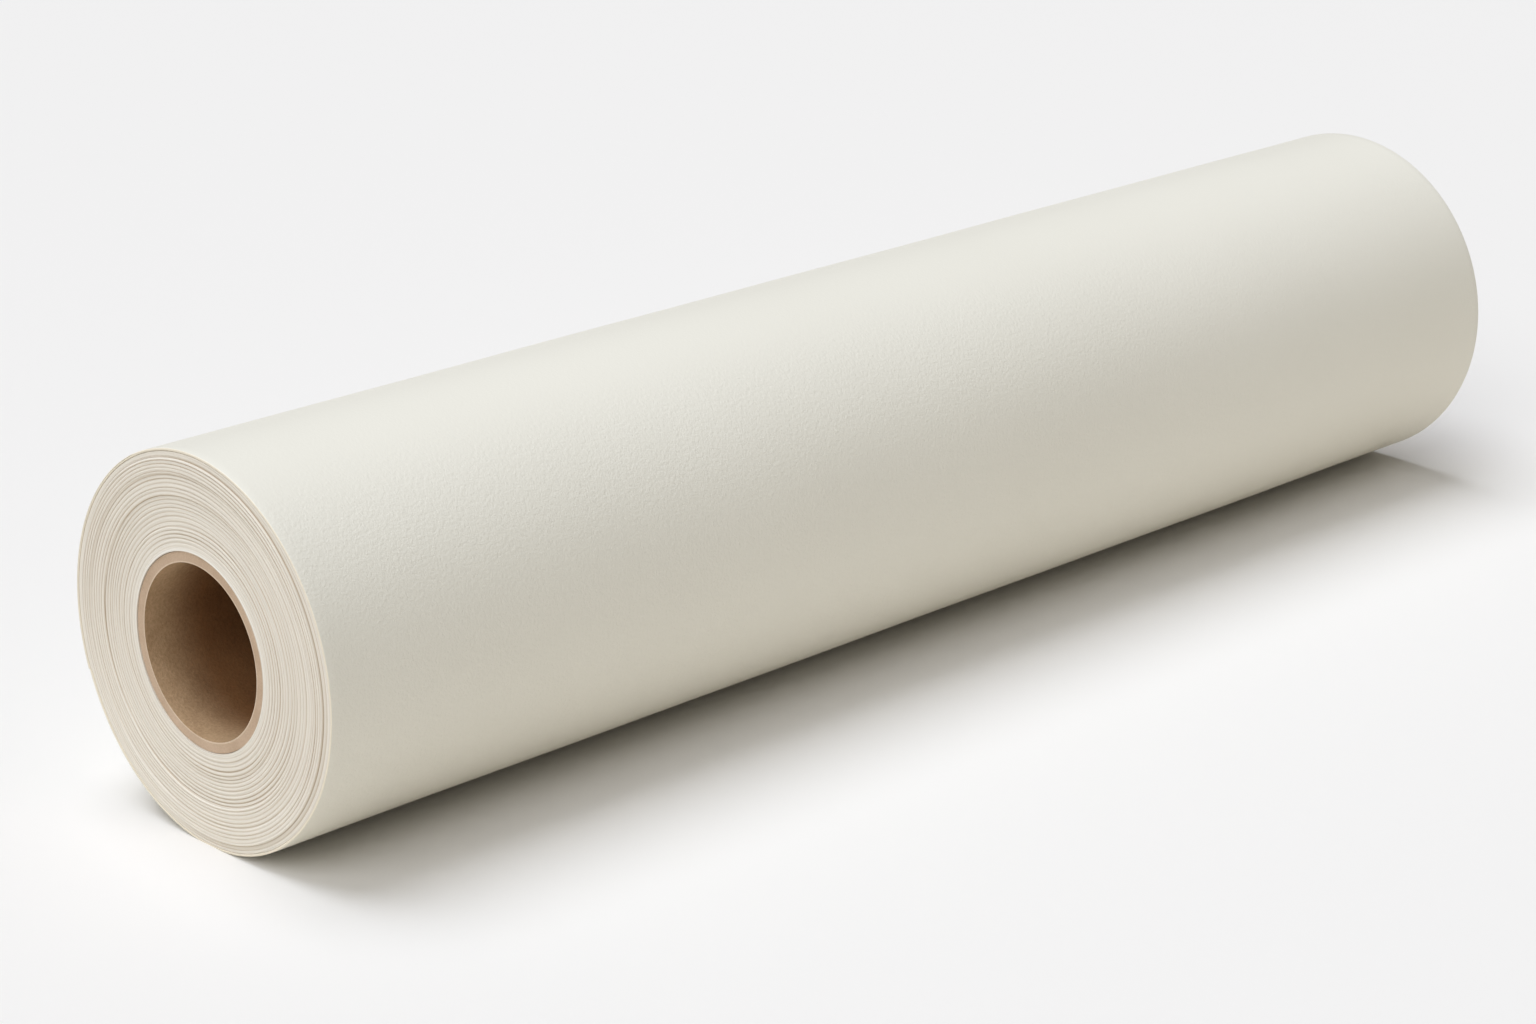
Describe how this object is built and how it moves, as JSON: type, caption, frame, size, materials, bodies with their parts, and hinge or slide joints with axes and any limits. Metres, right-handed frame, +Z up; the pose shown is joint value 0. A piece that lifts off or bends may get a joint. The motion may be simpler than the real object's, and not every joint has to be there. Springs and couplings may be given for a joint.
{
  "type": "backdrop paper roll",
  "caption": "Roll of off-white seamless backdrop paper wound on a brown board core, lying on its side, with a leading edge that lifts off and a core that turns inside the outer wrap.",
  "frame": {"origin": "on the floor under the middle of the roll, at the centre of its bounding box", "axes": "+Y along the roll's axis, away from the end that faces the viewer; +X across the roll, away from the leading edge; +Z up"},
  "size_m": [0.1496, 0.661, 0.1487],
  "materials": {
    "web_face": "matt off-white paper with a fine eggshell grain and a faint sheen",
    "wound_web": "stacked cut edges of off-white paper, fine ridges",
    "kraft_liner": "matt brown kraft paper",
    "core_board": "cut edge of grey-brown core board",
    "paper_tape": "satin buff paper tape"
  },
  "bodies": {
    "outer_wrap": {"outer_wrap": "web_face"},
    "loose_turns": {"loose_turns": "web_face"},
    "wound_roll": {"core_liner": "kraft_liner", "core_board_1": "core_board", "core_board_2": "core_board", "core_board_3": "core_board", "core_board_4": "core_board", "core_facing": "kraft_liner", "start_tape": "paper_tape", "first_turns": "wound_web", "middle_turns": "wound_web", "outer_turns": "wound_web", "last_turns": "wound_web"},
    "lead_root": {"lead_root": "web_face"},
    "lead_middle": {"lead_middle": "web_face"},
    "lead_tip": {"lead_tip": "web_face", "edge_tab_left": "paper_tape", "edge_tab_middle": "paper_tape", "edge_tab_right": "paper_tape"}
  },
  "joints": [
    {"name": "turns_slide", "type": "slide", "parent": "outer_wrap", "child": "loose_turns", "axis": [0, 1, 0], "range_m": [-0.003, 0.003]},
    {"name": "roll_turn", "type": "hinge", "parent": "loose_turns", "child": "wound_roll", "pos_m": [-0.0009, 0, 0.07411], "axis": [0, 1, 0], "continuous": true},
    {"name": "lead_lift", "type": "hinge", "parent": "outer_wrap", "child": "lead_root", "pos_m": [-0.04801, 0, 0.13112], "axis": [0, 1, 0], "range_deg": [0, 30]},
    {"name": "lead_bend", "type": "hinge", "parent": "lead_root", "child": "lead_middle", "pos_m": [-0.06678, 0, 0.10745], "axis": [0, 1, 0], "range_deg": [0, 30]},
    {"name": "lead_curl", "type": "hinge", "parent": "lead_middle", "child": "lead_tip", "pos_m": [-0.07465, 0, 0.07826], "axis": [0, 1, 0], "range_deg": [0, 30]}
  ],
  "couplings": [
    {"joint": "lead_bend", "follows": "lead_lift", "ratio": 1},
    {"joint": "lead_curl", "follows": "lead_lift", "ratio": 1}
  ]
}
